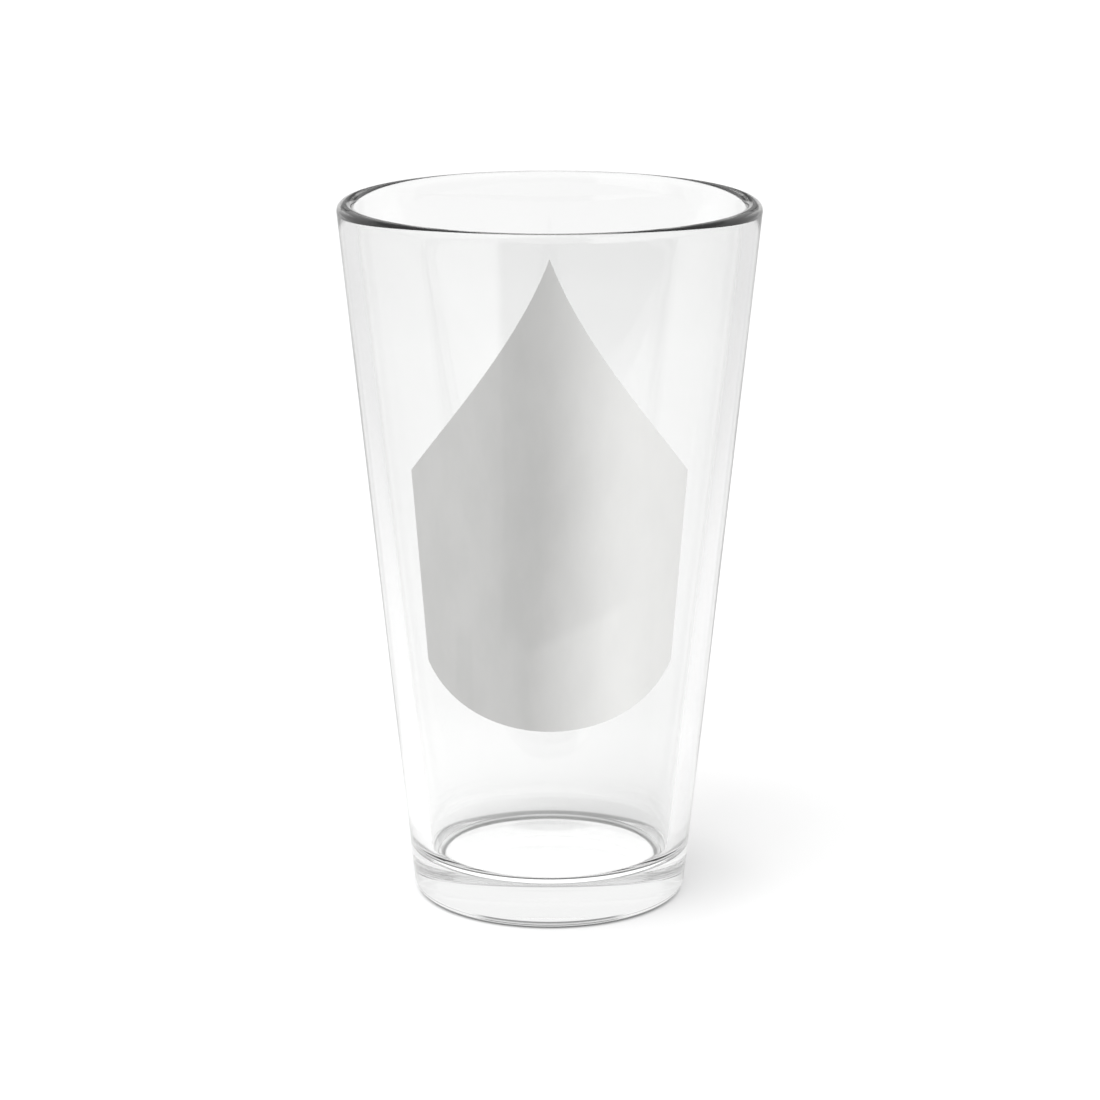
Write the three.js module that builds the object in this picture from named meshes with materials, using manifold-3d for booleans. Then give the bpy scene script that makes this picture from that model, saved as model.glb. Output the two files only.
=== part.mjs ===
// A pint glass: a straight-sided tapering tumbler of clear soda-lime glass, with a rounded rim
// and a thick base, and one panel of ceramic ink fired onto the front of its outer wall.
//
// Millimetres. +Z is up, the origin is the middle of the foot at table height, and the printed
// panel faces -Y.

import * as THREE from 'three';
import { mergeVertices } from 'three/addons/utils/BufferGeometryUtils.js';
import Module from 'manifold-3d';

// Driving dimensions of the glass
const HEIGHT = 150;
const MOUTH_RADIUS = 44.45; // the straight outer wall, carried up to the height of the rim
const FOOT_RADIUS = 29.1; // the straight outer wall, carried down to the table
const RIM_THICKNESS = 3.6; // the rim is a half round, as thick as the top of the wall
const WALL_AT_FLOOR = 4.4; // the wall thickens evenly from the rim to here
const FLOOR_HEIGHT = 8.9; // thickness of the base
const FLOOR_FILLET = 4.5; // inside corner between floor and wall
const HEEL_RADIUS = 2.6; // outside corner between wall and foot
const BEARING_WIDTH = 3.2; // flat ring that the glass stands on
const PUNT_DEPTH = 0.3; // shallow dome under the base, inside the bearing ring

// Driving dimensions of the printed panel. The artwork is flat: x runs round the wall and y up
// it, both measured on the wall rolled out flat, with y = 0 at the table.
const PRINT_TOP = 146; // tip of the panel
const PRINT_SHOULDER = 98.2; // the curved top edges meet the straight sides here
const PRINT_SIDE_FOOT = 57; // the straight sides meet the round bottom edge here
const PRINT_BOTTOM = 45.3; // lowest point of the round bottom edge
const PRINT_HALF_ANGLE = THREE.MathUtils.degToRad(45.85); // of the straight sides, from the front
const PRINT_TOP_BOW = new THREE.Vector2(7, 126.7); // control point that bows the top edges in
const PRINT_ROUND_HALF_WIDTH = 30; // half width of the ellipse that rounds the bottom
const FILM_THICKNESS = 0.12;
const FILM_CLEARANCE = 0.05; // from the facets of the wall behind it

// Fineness of the curved surfaces
const ROUND_SEGMENTS = 96;
const ARC_STEPS = 8;
const PUNT_STEPS = 4;
const OUTLINE_STEPS = 12;

// The outer wall is a cone. lean is its angle from upright, and coneLength is the distance along
// the wall from the cone's apex, far below the table, to the table.
const slope = (MOUTH_RADIUS - FOOT_RADIUS) / HEIGHT;
const lean = Math.atan(slope);
const coneLength = FOOT_RADIUS / Math.sin(lean);
const outerRadius = (height) => FOOT_RADIUS + slope * height;

const arcPoints = (centre, radius, startAngle, endAngle, steps = ARC_STEPS) => {
  const turnsBack = endAngle < startAngle;
  const arc = new THREE.EllipseCurve(
    centre.x, centre.y, radius, radius, startAngle, endAngle, turnsBack);
  return arc.getPoints(steps);
};

// The centre of a round of this radius, at this height, that touches the outer wall from inside.
const touchingOuterWall = (radius, height) =>
  new THREE.Vector2(outerRadius(height) - radius / Math.cos(lean), height);

// Half the glass in section, from the middle of the underside, out and up the outer wall, over
// the rim, down the inner wall and back to the middle of the floor.
function glassProfile() {
  const heelCentre = touchingOuterWall(HEEL_RADIUS, HEEL_RADIUS);
  const heel = arcPoints(heelCentre, HEEL_RADIUS, -Math.PI / 2, -lean);

  const puntRadius = heelCentre.x - BEARING_WIDTH;
  const punt = Array.from({ length: PUNT_STEPS + 1 }, (_, step) => {
    const across = step / PUNT_STEPS;
    return new THREE.Vector2(puntRadius * across, PUNT_DEPTH * (1 - across ** 2));
  });

  const rimRadius = RIM_THICKNESS / 2;
  const rimCentre = touchingOuterWall(rimRadius, HEIGHT - rimRadius);
  const innerFoot = new THREE.Vector2(outerRadius(FLOOR_HEIGHT) - WALL_AT_FLOOR, FLOOR_HEIGHT);

  // The inner wall runs from innerFoot to touch the rim's round, and leans by innerLean.
  const toRim = rimCentre.clone().sub(innerFoot);
  const innerLean = Math.atan2(toRim.x, toRim.y) - Math.asin(rimRadius / toRim.length());
  const rimOutside = arcPoints(rimCentre, rimRadius, -lean, Math.PI / 2);
  const rimInside = arcPoints(rimCentre, rimRadius, Math.PI / 2, Math.PI - innerLean).slice(1);

  // The fillet touches the floor and the inner wall.
  const cornerAngle = Math.PI / 2 + innerLean;
  const filletRun = FLOOR_FILLET / Math.tan(cornerAngle / 2);
  const filletCentre = new THREE.Vector2(innerFoot.x - filletRun, FLOOR_HEIGHT + FLOOR_FILLET);
  const fillet = arcPoints(filletCentre, FLOOR_FILLET, -innerLean, -Math.PI / 2);

  const floorMiddle = new THREE.Vector2(0, FLOOR_HEIGHT);

  return [...punt, ...heel, ...rimOutside, ...rimInside, ...fillet, floorMiddle];
}

// Turns a section, radius across and height up, round the upright axis.
function revolve(section) {
  const geometry = new THREE.LatheGeometry(section, ROUND_SEGMENTS);
  return geometry.rotateX(Math.PI / 2);
}

// A point of the flat artwork, seen from the front on the wall: x to the side and height up.
function seenFromFront(point) {
  const fromApex = Math.hypot(point.x, coneLength + point.y);
  const roundWall = Math.atan2(point.x, coneLength + point.y) / Math.sin(lean);
  const radius = fromApex * Math.sin(lean);
  return new THREE.Vector2(radius * Math.sin(roundWall), (radius - FOOT_RADIUS) / slope);
}

// The point of a straight side of the artwork that is this far up the wall.
function sidePoint(height) {
  const turn = PRINT_HALF_ANGLE * Math.sin(lean);
  return new THREE.Vector2((coneLength + height) * Math.tan(turn), height);
}

// The artwork: a shield with a point at the top, two inward-bowed top edges, straight sides that
// follow the taper of the glass, and a round bottom.
function artworkOutline() {
  const shoulder = sidePoint(PRINT_SHOULDER);
  const sideFoot = sidePoint(PRINT_SIDE_FOOT);
  const roundCut = Math.acos(sideFoot.x / PRINT_ROUND_HALF_WIDTH);
  const roundHalfHeight = (PRINT_SIDE_FOOT - PRINT_BOTTOM) / (1 - Math.sin(roundCut));

  const outline = new THREE.Shape();
  outline.moveTo(0, PRINT_TOP);
  outline.quadraticCurveTo(-PRINT_TOP_BOW.x, PRINT_TOP_BOW.y, -shoulder.x, shoulder.y);
  outline.lineTo(-sideFoot.x, sideFoot.y);
  outline.absellipse(
    0, PRINT_BOTTOM + roundHalfHeight, PRINT_ROUND_HALF_WIDTH, roundHalfHeight,
    Math.PI + roundCut, 2 * Math.PI - roundCut);
  outline.lineTo(shoulder.x, shoulder.y);
  outline.quadraticCurveTo(PRINT_TOP_BOW.x, PRINT_TOP_BOW.y, 0, PRINT_TOP);
  return outline.getPoints(OUTLINE_STEPS);
}

const wasm = await Module();
wasm.setup();

function toSolid(geometry) {
  const bare = geometry.clone().deleteAttribute('normal').deleteAttribute('uv');
  const merged = mergeVertices(bare);
  return new wasm.Manifold(new wasm.Mesh({
    numProp: 3,
    vertProperties: merged.attributes.position.array,
    triVerts: new Uint32Array(merged.index.array),
  }));
}

function toGeometry(solid) {
  const { vertProperties, triVerts } = solid.getMesh();
  const geometry = new THREE.BufferGeometry();
  geometry.setAttribute('position', new THREE.BufferAttribute(vertProperties, 3));
  geometry.setIndex(new THREE.BufferAttribute(triVerts, 1));
  geometry.computeVertexNormals();
  return geometry;
}

// The ink film: the part of a thin skin round the whole wall that lies behind the artwork.
function printedFilm() {
  const inner = FILM_CLEARANCE;
  const outer = FILM_CLEARANCE + FILM_THICKNESS;
  const skinSection = [
    [inner, 0], [outer, 0], [outer, HEIGHT], [inner, HEIGHT], [inner, 0],
  ].map(([offset, height]) => new THREE.Vector2(outerRadius(height) + offset, height));

  // The artwork stands upright, and reaches forward from the axis through the front of the wall.
  const outline = new THREE.Shape(artworkOutline().map(seenFromFront));
  const reach = new THREE.ExtrudeGeometry(outline, { depth: 2 * MOUTH_RADIUS, bevelEnabled: false });
  reach.rotateX(Math.PI / 2);

  return toGeometry(toSolid(revolve(skinSection)).intersect(toSolid(reach)));
}

const clearGlass = new THREE.MeshStandardMaterial({
  name: 'clear_glass', color: 0xf2f6f4, roughness: 0.05, metalness: 0, transparent: true, opacity: 0.35,
});
const greyInk = new THREE.MeshStandardMaterial({
  name: 'grey_ink', color: 0xc8c8c8, roughness: 0.35, metalness: 0,
});

const glassBody = new THREE.Mesh(revolve(glassProfile()), clearGlass);
glassBody.name = 'glass_body';

const printedPanel = new THREE.Mesh(printedFilm(), greyInk);
printedPanel.name = 'printed_panel';

const pintGlass = new THREE.Group();
pintGlass.name = 'pint_glass';
pintGlass.add(glassBody, printedPanel);

export default pintGlass;
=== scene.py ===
"""The looks of a pint glass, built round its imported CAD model.

The unit is the metre and the frame is the CAD model's: +Z is up, the glass stands on the middle of
the floor, and its printed panel faces -Y.
"""

import math

import bmesh
import bpy
from mathutils import Matrix, Vector


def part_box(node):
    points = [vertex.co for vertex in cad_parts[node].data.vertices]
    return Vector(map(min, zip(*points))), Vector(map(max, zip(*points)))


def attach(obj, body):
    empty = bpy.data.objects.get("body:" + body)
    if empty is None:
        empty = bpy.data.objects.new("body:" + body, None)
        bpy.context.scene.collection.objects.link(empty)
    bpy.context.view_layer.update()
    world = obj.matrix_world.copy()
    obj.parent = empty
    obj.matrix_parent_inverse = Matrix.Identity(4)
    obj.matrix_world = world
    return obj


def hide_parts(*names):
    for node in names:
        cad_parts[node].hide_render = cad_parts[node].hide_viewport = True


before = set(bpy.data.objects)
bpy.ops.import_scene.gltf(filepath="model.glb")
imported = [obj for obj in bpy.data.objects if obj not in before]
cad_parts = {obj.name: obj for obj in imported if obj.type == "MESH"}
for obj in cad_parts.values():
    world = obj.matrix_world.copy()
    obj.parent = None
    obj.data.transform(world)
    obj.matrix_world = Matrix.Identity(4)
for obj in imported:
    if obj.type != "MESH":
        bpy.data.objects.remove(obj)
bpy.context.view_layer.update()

MM = 0.001

# The glass. Its height comes from the CAD model, and the rest repeats the CAD's section.
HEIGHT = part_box("glass_body")[1].z
FOOT_RADIUS = 29.1 * MM
MOUTH_RADIUS = 44.45 * MM
RIM_THICKNESS = 3.6 * MM
WALL_AT_FLOOR = 4.4 * MM
FLOOR_HEIGHT = 8.9 * MM
FLOOR_FILLET = 4.5 * MM
HEEL_RADIUS = 2.6 * MM
BEARING_WIDTH = 3.2 * MM
PUNT_DEPTH = 0.3 * MM

# The printed panel. Its heights and half widths are measured on the wall rolled out flat.
PRINT_TOP = 146 * MM
PRINT_SHOULDER = 98.2 * MM
PRINT_SIDE_FOOT = 57 * MM
PRINT_BOTTOM = 45.3 * MM
PRINT_HALF_ANGLE = math.radians(45.85)
PRINT_TOP_BOW = Vector((7 * MM, 126.7 * MM))
PRINT_ROUND_HALF_WIDTH = 30 * MM
INK_ABOVE_GLASS = 0.04 * MM
INK_INTO_GLASS = 0.02 * MM

# Fineness of the curved surfaces.
ROUND_SEGMENTS = 256
ARC_STEPS = 20
WALL_STEPS = 40
PRINT_COLUMNS = 64
SEAM_GAP = MM / 1000
POINT_WIDTH = MM / 100
CREASE_ANGLE = math.radians(40)

# The camera, fitted to the outline of the glass. Lens and sensor are in millimetres.
CAMERA_PLACE = (0.085 * MM, -728 * MM, 263 * MM)
CAMERA_TILT = math.radians(14.479)
CAMERA_LENS = 115.52
CAMERA_CLIP = 10 * MM
SENSOR_WIDTH = 36

# From here on a pair is the start and the end of a soft edge, of a range or of a change in light, and
# light is a share of white.

# The finish of the glass.
GLASS_IOR = 1.5
WALL_CLARITY = 0.932
BASE_CLARITY = 0.952
BASE_EDGE = (8 * MM, 14 * MM)
# Painted shade: how much darker the glass is tinted near its top.
TOP_PAINTED_SHADE = 0.027
TOP_EDGE = (122 * MM, 134 * MM)
GREENNESS = 1.002
STREAK_SCALE = 25.0
STREAK_RANGE = (0.3, 0.7)
STREAK_DEPTH = 0.003
HANDLING_SCALE = 90.0
HANDLING_RANGE = (0.45, 0.75)
HANDLING_ROUGHNESS = 0.03
WAVE_SCALE = 35.0
WAVE_STRENGTH = 0.12
WAVE_HEIGHT = 0.2 * MM

# The finish of the ink. Its bands run up the panel, and x is measured from the panel's middle.
INK_LEFT = 0.445
INK_LEFT_FALL = 0.01
INK_LEFT_RUN = (-20 * MM, -10 * MM)
INK_VALLEY = 0.42
INK_VALLEY_EDGE = (-4 * MM, -8 * MM)
INK_VALLEY_START = (-10.6 * MM, -9.2 * MM)
INK_RIGHT = 0.765
INK_RIGHT_RUN = (-5 * MM, 19.2 * MM)
INK_LOW = (69 * MM, 62 * MM)
# Painted reflection of the table on the ink, below an edge that rises to the right.
REFLECTION_EDGE_SLOPE = 0.5
REFLECTION_EDGE_START = -4 * MM
REFLECTION_EDGE_HEIGHT = (66.5 * MM, 62.5 * MM)
PAINTED_REFLECTION_LEFT = (-8 * MM, 0.0)
PAINTED_REFLECTION_RIGHT = (21 * MM, 12 * MM)
PAINTED_REFLECTION_LIGHT = 0.038
STRIPE_MIDDLE = -17.2 * MM
STRIPE_EDGE = (2 * MM, 1.2 * MM)
STRIPE_DARKNESS = 0.015
INK_STRETCH = 0.4
DRIFT_SCALE = 60.0
DRIFT_RANGE = (0.2, 0.8)
DRIFT_WIDTH = 0.8 * MM
CLOUD_SCALE = 150.0
CLOUD_RANGE = (0.3, 0.7)
CLOUD_DEPTH = 0.012
INK_WARMTH = 0.985
# Painted light on the side of the ink that meets the glass.
INNER_SIDE_PAINTED_LIGHT = 0.75
GRAIN_SCALE = 2400.0
GRAIN_RANGE = (0.25, 0.75)
GRAIN_STRENGTH = 0.12
GRAIN_HEIGHT = 0.04 * MM
INK_ROUGHNESS = (0.3, 0.42)

# The room. Heights and sides are sines of the angle above the table and away from the middle.
ROOM_LIGHT = 1.1
FRONT_RISE = (0.1, 0.8)
FRONT_LIGHT = (0.65, 0.9)
BACKDROP_TOP = (0.5, 0.6)
BACKDROP_LIGHT = (0.96, 0.55)
FRONT_TO_BACK = (-0.6, 0.6)
GAP_BOTTOM = (0.1, 0.16)
GAP_TOP = (0.31, 0.27)
GAP_SIDE = (0.42, 0.3)
GAP_DARKNESS = 0.7

# The floor. A share is a distance to the side over the distance from the glass.
FLOOR_RADIUS = 6.0
FLOOR_SEGMENTS = 96
FLOOR_DROP = 0.02 * MM
FLOOR_ALBEDO = 0.5
FLOOR_GLOW = 0.46
# Painted light and shade on the floor: a contact shadow under the heel, a pool of light under the
# glass, a lighter ring round it, and a contact shadow seen through the glass.
CONTACT_SHADOW_EDGE = (27.2 * MM, 29 * MM)
PAINTED_POOL_LIGHT = 1.15
PAINTED_POOL_EDGE = (26.2 * MM, 25.2 * MM)
PAINTED_RING_LIGHT = 0.06
RING_INSIDE = (34 * MM, 55 * MM)
RING_OUTSIDE = (140 * MM, 100 * MM)
FAR_GLOW = 0.4
FAR_EDGE = (1.2, 3.2)
SHADED_INSIDE = (29.2 * MM, 30 * MM)
SHADED_OUTSIDE = (33.5 * MM, 31.5 * MM)
# Painted reflections: where the floor looks dark or bright only in reflections.
REFLECTION_DARK_FRONT = (-0.16, -0.17)
PAINTED_FRONT_DARKNESS = 0.85
REFLECTION_DARK_SIDE = (0.06, 0.3)
PAINTED_SIDE_DARKNESS = 0.22
SIDE_FADE = (1.2, 0.4)
PAINTED_CARD_INSIDE = (0.08, 0.16)
PAINTED_CARD_OUTSIDE = (0.5, 0.4)
PAINTED_CARD_FRONT = (0.04, 0.1)
PAINTED_CARD_DARKNESS = 0.3
PAINTED_PATCH_LIGHT = 1.2
PAINTED_PATCH_RIGHT = (-0.42, -0.5)
PAINTED_PATCH_LEFT = (-0.99, -0.93)
PAINTED_PATCH_BACK = (-0.165, -0.175)

LAMP_DISTANCE = 4.0
LIGHT_BOUNCES = 32

# The outer wall is a cone, with its apex far below the table.
slope = (MOUTH_RADIUS - FOOT_RADIUS) / HEIGHT
lean = math.atan(slope)
cone_length = FOOT_RADIUS / math.sin(lean)


def outer_radius(height):
    return FOOT_RADIUS + slope * height


# ---------------------------------------------------------------------------------------- camera


def add_camera():
    """Looks a little down on the glass from in front, through a long lens."""
    data = bpy.data.cameras.new("camera")
    data.sensor_width = SENSOR_WIDTH
    data.lens = CAMERA_LENS
    data.clip_start = CAMERA_CLIP
    camera = bpy.data.objects.new("camera", data)
    camera.location = CAMERA_PLACE
    camera.rotation_euler = (math.pi / 2 - CAMERA_TILT, 0, 0)
    bpy.context.scene.collection.objects.link(camera)
    bpy.context.scene.camera = camera


# ------------------------------------------------------------------------------- node tree helper


class Graph:
    """Adds nodes to a node tree, and joins each to the sockets that it is given."""

    def __init__(self, tree):
        self.tree = tree

    def node(self, kind, inputs=None, **settings):
        made = self.tree.nodes.new(kind)
        for name, value in settings.items():
            setattr(made, name, value)
        for key, value in (inputs or {}).items():
            self.put(made.inputs[key], value)
        return made

    def put(self, socket, value):
        if isinstance(value, bpy.types.NodeSocket):
            self.tree.links.new(value, socket)
        else:
            socket.default_value = value

    def math(self, operation, first, second=0.0):
        return self.node("ShaderNodeMath", {0: first, 1: second}, operation=operation).outputs[0]

    def product(self, first, *others):
        for other in others:
            first = self.math("MULTIPLY", first, other)
        return first

    def length(self, x, y):
        return self.math("SQRT", self.math("ADD", self.product(x, x), self.product(y, y)))

    def mix(self, share, first, second):
        inputs = {0: share, 2: first, 3: second}
        return self.node("ShaderNodeMix", inputs, data_type="FLOAT").outputs[0]

    def step(self, value, start, end, low=0.0, high=1.0):
        """Rises smoothly from low to high as value goes from start to end."""
        inputs = {"Value": value, "From Min": start, "From Max": end, "To Min": low, "To Max": high}
        return self.node("ShaderNodeMapRange", inputs, interpolation_type="SMOOTHSTEP").outputs[0]

    def noise(self, vector, scale, detail=2.0, roughness=0.5):
        inputs = {"Vector": vector, "Scale": scale, "Detail": detail, "Roughness": roughness}
        return self.node("ShaderNodeTexNoise", inputs).outputs["Fac"]

    def separate(self, vector):
        return self.node("ShaderNodeSeparateXYZ", {0: vector}).outputs


def new_material(name):
    material = bpy.data.materials.new(name)
    material.use_nodes = True
    return material, Graph(material.node_tree), material.node_tree.nodes["Principled BSDF"]


# ----------------------------------------------------------------------------------------- stage


def light_the_world():
    """Soft studio light from all round. Behind, a dark gap parts the table from the backdrop.

    Looked at directly, the room is as white as the table.
    """
    world = bpy.data.worlds.new("studio")
    bpy.context.scene.world = world
    world.use_nodes = True
    graph = Graph(world.node_tree)
    background = world.node_tree.nodes["Background"]
    background.inputs["Color"].default_value = (1, 1, 1, 1)
    x, y, z = graph.separate(graph.node("ShaderNodeTexCoord").outputs["Generated"])
    gap = graph.product(graph.step(z, *GAP_BOTTOM), graph.step(z, *GAP_TOP), GAP_DARKNESS)
    gap = graph.product(gap, graph.step(graph.math("ABSOLUTE", x), *GAP_SIDE))
    behind = graph.math("SUBTRACT", graph.step(z, *BACKDROP_TOP, *BACKDROP_LIGHT), gap)
    front = graph.step(z, *FRONT_RISE, *FRONT_LIGHT)
    reflected = graph.mix(graph.step(y, *FRONT_TO_BACK), front, behind)
    direct = graph.node("ShaderNodeLightPath").outputs["Is Camera Ray"]
    graph.put(background.inputs["Strength"], graph.mix(direct, reflected, ROOM_LIGHT))


def brightness_in_reflections(graph, x, y, reach):
    """How bright the floor looks in a reflection, as a share of its real brightness: painted
    reflections of a table edge, a dark card on each side and a white patch.
    """
    aside = graph.math("ABSOLUTE", x)
    # Painted reflection: in reflections the floor is darker in front and at the sides, as if the
    # table ended.
    dark_in_front = graph.step(y, *REFLECTION_DARK_FRONT, 0.0, PAINTED_FRONT_DARKNESS)
    dark_at_side = graph.step(aside, *REFLECTION_DARK_SIDE, 0.0, PAINTED_SIDE_DARKNESS)
    dark_at_side = graph.product(dark_at_side, graph.step(y, *SIDE_FADE))
    side_share = graph.math("DIVIDE", aside, reach)
    # Painted reflection of a dark card on each side behind the glass.
    painted_cards = graph.product(graph.step(side_share, *PAINTED_CARD_INSIDE), graph.step(side_share, *PAINTED_CARD_OUTSIDE))
    painted_cards = graph.product(painted_cards, graph.step(y, *PAINTED_CARD_FRONT, 0.0, PAINTED_CARD_DARKNESS))
    dark = graph.math("MAXIMUM", dark_in_front, graph.math("MAXIMUM", dark_at_side, painted_cards))
    share = graph.math("DIVIDE", x, reach)
    # Painted reflection of a white patch to the left in front.
    painted_white_patch = graph.product(graph.step(share, *PAINTED_PATCH_RIGHT), graph.step(share, *PAINTED_PATCH_LEFT))
    painted_white_patch = graph.product(painted_white_patch, graph.step(y, *PAINTED_PATCH_BACK))
    return graph.mix(painted_white_patch, graph.math("SUBTRACT", 1.0, dark), PAINTED_PATCH_LIGHT)


def glow_of_floor(graph, reach, through_glass):
    """The floor's own light: a painted pool of light inside the foot, none under the heel as a
    painted contact shadow, and the same from there on.

    It is a little stronger in a broad ring round the glass, painted light that lightens the shadow
    there, and again far off. Through the glass, a narrow ring round the foot is dark, a painted
    contact shadow.
    """
    # Painted light and shade: a pool of light inside the foot, and no glow under the heel as a
    # contact shadow.
    glow = graph.math(
        "ADD",
        graph.step(reach, *PAINTED_POOL_EDGE, 0.0, PAINTED_POOL_LIGHT),
        graph.step(reach, *CONTACT_SHADOW_EDGE, 0.0, FLOOR_GLOW),
    )
    glow = graph.math("ADD", glow, graph.step(reach, *FAR_EDGE, 0.0, FAR_GLOW))
    # Painted light: a broad ring round the glass is lighter, which lightens the shadow there.
    ring = graph.product(graph.step(reach, *RING_INSIDE), graph.step(reach, *RING_OUTSIDE), PAINTED_RING_LIGHT)
    glow = graph.math("ADD", glow, ring)
    # Painted contact shadow round the foot, seen only through the glass.
    shaded = graph.product(graph.step(reach, *SHADED_INSIDE), graph.step(reach, *SHADED_OUTSIDE))
    shaded = graph.product(shaded, through_glass, FLOOR_GLOW)
    return graph.math("SUBTRACT", glow, shaded)


def pale_floor():
    """A plain pale table that glows a little, as a light table does, with a painted pool of light
    under the glass.

    Reflections see painted shade where a table would end: in front the floor looks dark, apart from a
    painted white patch to the left, at the sides it looks dim, and behind there is a painted dark
    card to the left and one to the right. A narrow painted contact shadow round the foot is seen only
    through the glass.
    """
    material, graph, shader = new_material("pale_floor")
    x, y, _ = graph.separate(graph.node("ShaderNodeTexCoord").outputs["Object"])
    reach = graph.length(x, y)
    path = graph.node("ShaderNodeLightPath").outputs
    reflected = graph.math("MINIMUM", path["Glossy Depth"], 1.0)
    through_glass = graph.math("MINIMUM", path["Transmission Depth"], 1.0)
    light = graph.mix(reflected, 1.0, brightness_in_reflections(graph, x, y, reach))
    glow = graph.product(glow_of_floor(graph, reach, through_glass), light)
    graph.put(shader.inputs["Emission Strength"], glow)
    shader.inputs["Emission Color"].default_value = (1, 1, 1, 1)
    albedo = graph.product(light, FLOOR_ALBEDO)
    colour = graph.node("ShaderNodeCombineColor", {0: albedo, 1: albedo, 2: albedo}).outputs[0]
    graph.put(shader.inputs["Base Color"], colour)
    shader.inputs["Roughness"].default_value = 1.0
    shader.inputs["Specular IOR Level"].default_value = 0.0
    return material


def add_floor():
    sheet = bmesh.new()
    bmesh.ops.create_circle(sheet, cap_ends=True, radius=FLOOR_RADIUS, segments=FLOOR_SEGMENTS)
    mesh = bpy.data.meshes.new("floor")
    sheet.to_mesh(mesh)
    sheet.free()
    mesh.transform(Matrix.Translation((0, 0, -FLOOR_DROP)))
    mesh.materials.append(pale_floor())
    floor = bpy.data.objects.new("floor", mesh)
    bpy.context.scene.collection.objects.link(floor)


def add_softbox(name, turn, rise, size, energy):
    """A large square lamp, turned left from the front and raised by degrees.

    It lights the floor and the ink, and isn't seen in the glass.
    """
    data = bpy.data.lights.new(name, "AREA")
    data.shape = "SQUARE"
    data.size = size
    data.energy = energy
    lamp = bpy.data.objects.new(name, data)
    lamp.visible_glossy = False
    lamp.visible_transmission = False
    turn, rise = math.radians(turn), math.radians(rise)
    level = math.cos(rise)
    away = Vector((-math.sin(turn) * level, -math.cos(turn) * level, math.sin(rise)))
    lamp.location = LAMP_DISTANCE * away
    lamp.rotation_euler = away.to_track_quat("Z", "Y").to_euler()
    bpy.context.scene.collection.objects.link(lamp)


# ----------------------------------------------------------------------------------------- glass


def arc_points(centre, radius, start, end, steps=ARC_STEPS):
    angles = [start + (end - start) * step / steps for step in range(steps + 1)]
    return [centre + radius * Vector((math.cos(a), math.sin(a))) for a in angles]


def between(start, end, steps):
    """The points that part a straight run into equal steps, without its ends."""
    return [start.lerp(end, step / steps) for step in range(1, steps)]


def touching_outer_wall(radius, height):
    return Vector((outer_radius(height) - radius / math.cos(lean), height))


def glass_section():
    """Half the glass in section: underside, outer wall, rim, inner wall, floor."""
    heel_centre = touching_outer_wall(HEEL_RADIUS, HEEL_RADIUS)
    heel = arc_points(heel_centre, HEEL_RADIUS, -math.pi / 2, -lean)
    punt_radius = heel_centre.x - BEARING_WIDTH
    punt = [
        Vector((punt_radius * across, PUNT_DEPTH * (1 - across**2)))
        for across in (step / ARC_STEPS for step in range(ARC_STEPS + 1))
    ]
    rim_radius = RIM_THICKNESS / 2
    rim_centre = touching_outer_wall(rim_radius, HEIGHT - rim_radius)
    inner_foot = Vector((outer_radius(FLOOR_HEIGHT) - WALL_AT_FLOOR, FLOOR_HEIGHT))
    to_rim = rim_centre - inner_foot
    inner_lean = math.atan2(to_rim.x, to_rim.y) - math.asin(rim_radius / to_rim.length)
    rim = arc_points(rim_centre, rim_radius, -lean, math.pi - inner_lean, 2 * ARC_STEPS)
    fillet_run = FLOOR_FILLET / math.tan((math.pi / 2 + inner_lean) / 2)
    fillet_centre = Vector((inner_foot.x - fillet_run, FLOOR_HEIGHT + FLOOR_FILLET))
    fillet = arc_points(fillet_centre, FLOOR_FILLET, -inner_lean, -math.pi / 2)
    floor_middle = Vector((0, FLOOR_HEIGHT))
    return [
        *punt,
        *heel,
        *between(heel[-1], rim[0], WALL_STEPS),
        *rim,
        *between(rim[-1], fillet[0], WALL_STEPS),
        *fillet,
        *between(fillet[-1], floor_middle, ARC_STEPS),
        floor_middle,
    ]


def finish_mesh(work, name, material):
    bmesh.ops.recalc_face_normals(work, faces=work.faces)
    mesh = bpy.data.meshes.new(name)
    work.to_mesh(mesh)
    work.free()
    mesh.shade_smooth()
    mesh.set_sharp_from_angle(angle=CREASE_ANGLE)
    mesh.materials.append(material)
    piece = bpy.data.objects.new(name, mesh)
    bpy.context.scene.collection.objects.link(piece)
    return piece


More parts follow.
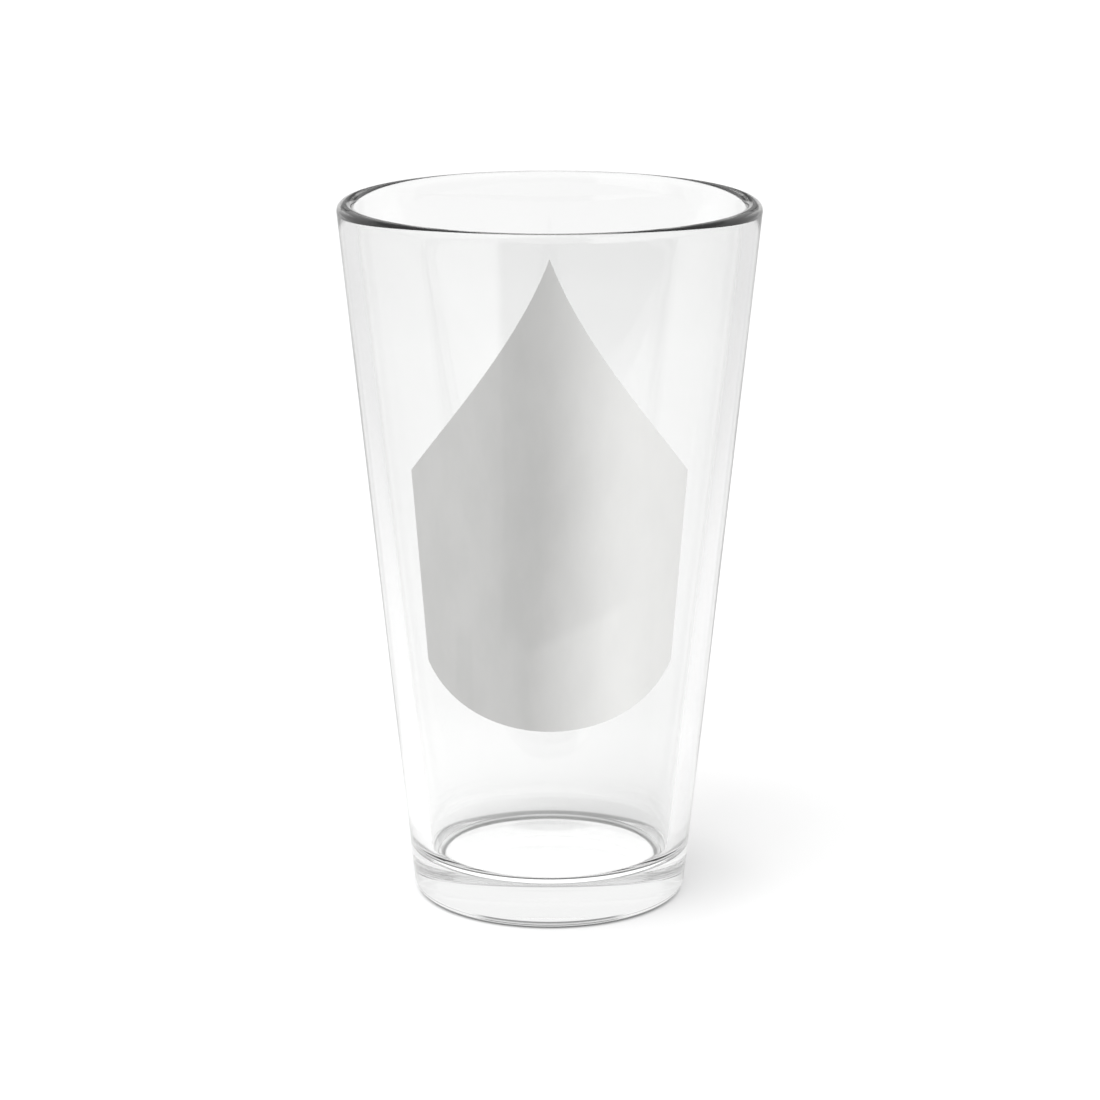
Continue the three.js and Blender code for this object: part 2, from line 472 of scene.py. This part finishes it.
def clear_glass():
    """Clear glass, clearest in the base, with painted shade that makes it a little darker at the top,
    and faintly wavy as pressed.
    """
    material, graph, shader = new_material("clear_glass")
    position = graph.node("ShaderNodeTexCoord").outputs["Object"]
    z = graph.separate(position)[2]
    streaks = graph.noise(position, STREAK_SCALE, detail=3.0)
    tint = graph.step(streaks, *STREAK_RANGE, -STREAK_DEPTH, STREAK_DEPTH)
    tint = graph.math("ADD", tint, graph.step(z, *BASE_EDGE, BASE_CLARITY, WALL_CLARITY))
    # Painted shade: the glass is tinted a little darker towards the top.
    tint = graph.math("SUBTRACT", tint, graph.step(z, *TOP_EDGE, 0.0, TOP_PAINTED_SHADE))
    green = graph.product(tint, GREENNESS)
    colour = graph.node("ShaderNodeCombineColor", {0: tint, 1: green, 2: tint}).outputs[0]
    graph.put(shader.inputs["Base Color"], colour)
    handling = graph.noise(position, HANDLING_SCALE, detail=4.0, roughness=0.6)
    roughness = graph.step(handling, *HANDLING_RANGE, 0.0, HANDLING_ROUGHNESS)
    graph.put(shader.inputs["Roughness"], roughness)
    waves = graph.noise(position, WAVE_SCALE, detail=1.0)
    bump = {"Height": waves, "Strength": WAVE_STRENGTH, "Distance": WAVE_HEIGHT}
    graph.put(shader.inputs["Normal"], graph.node("ShaderNodeBump", bump).outputs[0])
    shader.inputs["IOR"].default_value = GLASS_IOR
    shader.inputs["Transmission Weight"].default_value = 1.0
    return material


def build_glass():
    work = bmesh.new()
    points = [work.verts.new((0, -point.x, point.y)) for point in glass_section()]
    edges = [work.edges.new(pair) for pair in zip(points, points[1:])]
    bmesh.ops.spin(
        work, geom=points + edges, axis=(0, 0, 1), angle=2 * math.pi, steps=ROUND_SEGMENTS
    )
    bmesh.ops.remove_doubles(work, verts=work.verts, dist=SEAM_GAP)
    piece = finish_mesh(work, "glass_tumbler", clear_glass())
    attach(piece, "root")
    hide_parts("glass_body")


# ----------------------------------------------------------------------------------------- print


def side_half_width(height):
    return (cone_length + height) * math.tan(PRINT_HALF_ANGLE * math.sin(lean))


def artwork_rows():
    """(half width, height) of the panel from its tip down to its lowest point."""
    shoulder = Vector((side_half_width(PRINT_SHOULDER), PRINT_SHOULDER))
    tip = Vector((0, PRINT_TOP))
    top = []
    for step in range(WALL_STEPS * 2):
        t = step / (WALL_STEPS * 2)
        top.append((1 - t) ** 2 * tip + 2 * (1 - t) * t * PRINT_TOP_BOW + t**2 * shoulder)
    side_foot = Vector((side_half_width(PRINT_SIDE_FOOT), PRINT_SIDE_FOOT))
    cut = math.acos(side_foot.x / PRINT_ROUND_HALF_WIDTH)
    half_height = (PRINT_SIDE_FOOT - PRINT_BOTTOM) / (1 - math.sin(cut))
    middle = Vector((0, PRINT_BOTTOM + half_height))
    bottom = [
        middle + Vector((PRINT_ROUND_HALF_WIDTH * ray.x, half_height * ray.y))
        for ray in arc_points(Vector((0, 0)), 1.0, -cut, -math.pi / 2, 2 * ARC_STEPS)
    ]
    return [*top, shoulder, *between(shoulder, side_foot, WALL_STEPS), *bottom]


def on_wall(across, height, lift):
    """The point of the rolled-out wall, put back round the cone and lifted off the glass."""
    turn = math.atan2(across, cone_length + height) / math.sin(lean)
    radius = math.hypot(across, cone_length + height) * math.sin(lean)
    upright = (radius - FOOT_RADIUS) / slope - lift * math.sin(lean)
    radius += lift * math.cos(lean)
    return (radius * math.sin(turn), -radius * math.cos(turn), upright)


def add_skin(work, lift):
    """One face of the film, as rows of vertices: a single vertex at the tip and at the bottom."""
    rows = []
    for half_width, height in artwork_rows():
        if half_width < POINT_WIDTH:
            rows.append([work.verts.new(on_wall(0, height, lift))])
            continue
        shares = [2 * column / PRINT_COLUMNS - 1 for column in range(PRINT_COLUMNS + 1)]
        rows.append([work.verts.new(on_wall(half_width * s, height, lift)) for s in shares])
    for upper, lower in zip(rows, rows[1:]):
        for column in range(PRINT_COLUMNS):
            corners = [
                upper[min(column, len(upper) - 1)],
                upper[min(column + 1, len(upper) - 1)],
                lower[min(column + 1, len(lower) - 1)],
                lower[min(column, len(lower) - 1)],
            ]
            work.faces.new(list(dict.fromkeys(corners)))
    left = [row[0] for row in rows]
    right = [row[-1] for row in rows if len(row) > 1]
    return left + right[::-1]


def ink_bands(graph, x, z):
    """Soft upright bands of light and dark, and in the middle a painted reflection of the table that
    makes the ink lighter below an edge rising to the right.
    """
    low = graph.step(z, *INK_LOW)
    left_end = INK_LEFT - INK_LEFT_FALL
    left = graph.step(x, *INK_LEFT_RUN, INK_LEFT, left_end)
    valley = graph.product(low, graph.step(x, *INK_VALLEY_EDGE))
    valley = graph.mix(valley, INK_VALLEY, left_end)
    shade = graph.mix(graph.step(x, *INK_VALLEY_START), left, valley)
    right = graph.step(x, *INK_RIGHT_RUN, 0.0, INK_RIGHT - INK_VALLEY)
    # Painted reflection of the table: lighter in the middle below an edge that rises to the right.
    rise = graph.product(graph.math("MAXIMUM", x, REFLECTION_EDGE_START), REFLECTION_EDGE_SLOPE)
    below_reflection_edge = graph.step(graph.math("SUBTRACT", z, rise), *REFLECTION_EDGE_HEIGHT)
    painted_reflection = graph.product(graph.step(x, *PAINTED_REFLECTION_LEFT), graph.step(x, *PAINTED_REFLECTION_RIGHT), below_reflection_edge, PAINTED_REFLECTION_LIGHT)
    from_stripe = graph.math("ABSOLUTE", graph.math("SUBTRACT", x, STRIPE_MIDDLE))
    stripe = graph.product(graph.step(from_stripe, *STRIPE_EDGE), low, -STRIPE_DARKNESS)
    for part in (right, painted_reflection, stripe):
        shade = graph.math("ADD", shade, part)
    return shade


def grey_ink():
    """Satin grey ink in soft bands with a painted reflection, finely grained, and with painted light
    that makes the side meeting the glass lighter.
    """
    material, graph, shader = new_material("grey_ink")
    position = graph.node("ShaderNodeTexCoord").outputs["Object"]
    stretch = {0: position, 1: (1, 1, INK_STRETCH)}
    upright = graph.node("ShaderNodeVectorMath", stretch, operation="MULTIPLY").outputs[0]
    x, y, z = graph.separate(position)
    drift = graph.noise(upright, DRIFT_SCALE)
    drift = graph.step(drift, *DRIFT_RANGE, -DRIFT_WIDTH, DRIFT_WIDTH)
    shade = ink_bands(graph, graph.math("ADD", x, drift), z)
    clouds = graph.noise(upright, CLOUD_SCALE, detail=4.0, roughness=0.6)
    clouds = graph.step(clouds, *CLOUD_RANGE, -CLOUD_DEPTH, CLOUD_DEPTH)
    shade = graph.math("ADD", shade, clouds)
    radius_at_foot = graph.math("SUBTRACT", graph.length(x, y), graph.product(z, slope))
    inner = graph.step(radius_at_foot, FOOT_RADIUS + INK_ABOVE_GLASS / 4, FOOT_RADIUS)
    # Painted light: the side that meets the glass gets a lighter flat shade, as if lit through the
    # glass.
    shade = graph.mix(inner, shade, INNER_SIDE_PAINTED_LIGHT)
    blue = graph.product(shade, INK_WARMTH)
    colour = graph.node("ShaderNodeCombineColor", {0: shade, 1: shade, 2: blue}).outputs[0]
    graph.put(shader.inputs["Base Color"], colour)
    grain = graph.noise(position, GRAIN_SCALE, detail=3.0)
    graph.put(shader.inputs["Roughness"], graph.step(grain, *GRAIN_RANGE, *INK_ROUGHNESS))
    bump = {"Height": grain, "Strength": GRAIN_STRENGTH, "Distance": GRAIN_HEIGHT}
    graph.put(shader.inputs["Normal"], graph.node("ShaderNodeBump", bump).outputs[0])
    return material


def build_print():
    work = bmesh.new()
    front = add_skin(work, INK_ABOVE_GLASS)
    back = add_skin(work, -INK_INTO_GLASS)
    for index, corner in enumerate(front):
        following = (index + 1) % len(front)
        work.faces.new((corner, front[following], back[following], back[index]))
    piece = finish_mesh(work, "ink_panel", grey_ink())
    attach(piece, "root")
    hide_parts("printed_panel")


def settle_rendering():
    """Light needs many bounces to get through clear glass, and the view is neutral."""
    scene = bpy.context.scene
    scene.view_settings.view_transform = "Standard"
    scene.cycles.max_bounces = LIGHT_BOUNCES
    scene.cycles.transmission_bounces = LIGHT_BOUNCES
    scene.cycles.glossy_bounces = LIGHT_BOUNCES
    scene.cycles.use_denoising = True


add_camera()
light_the_world()
add_floor()
add_softbox("key", turn=35, rise=56, size=3.2, energy=112.0)
add_softbox("side", turn=105, rise=60, size=2.4, energy=22.0)
build_glass()
build_print()
settle_rendering()
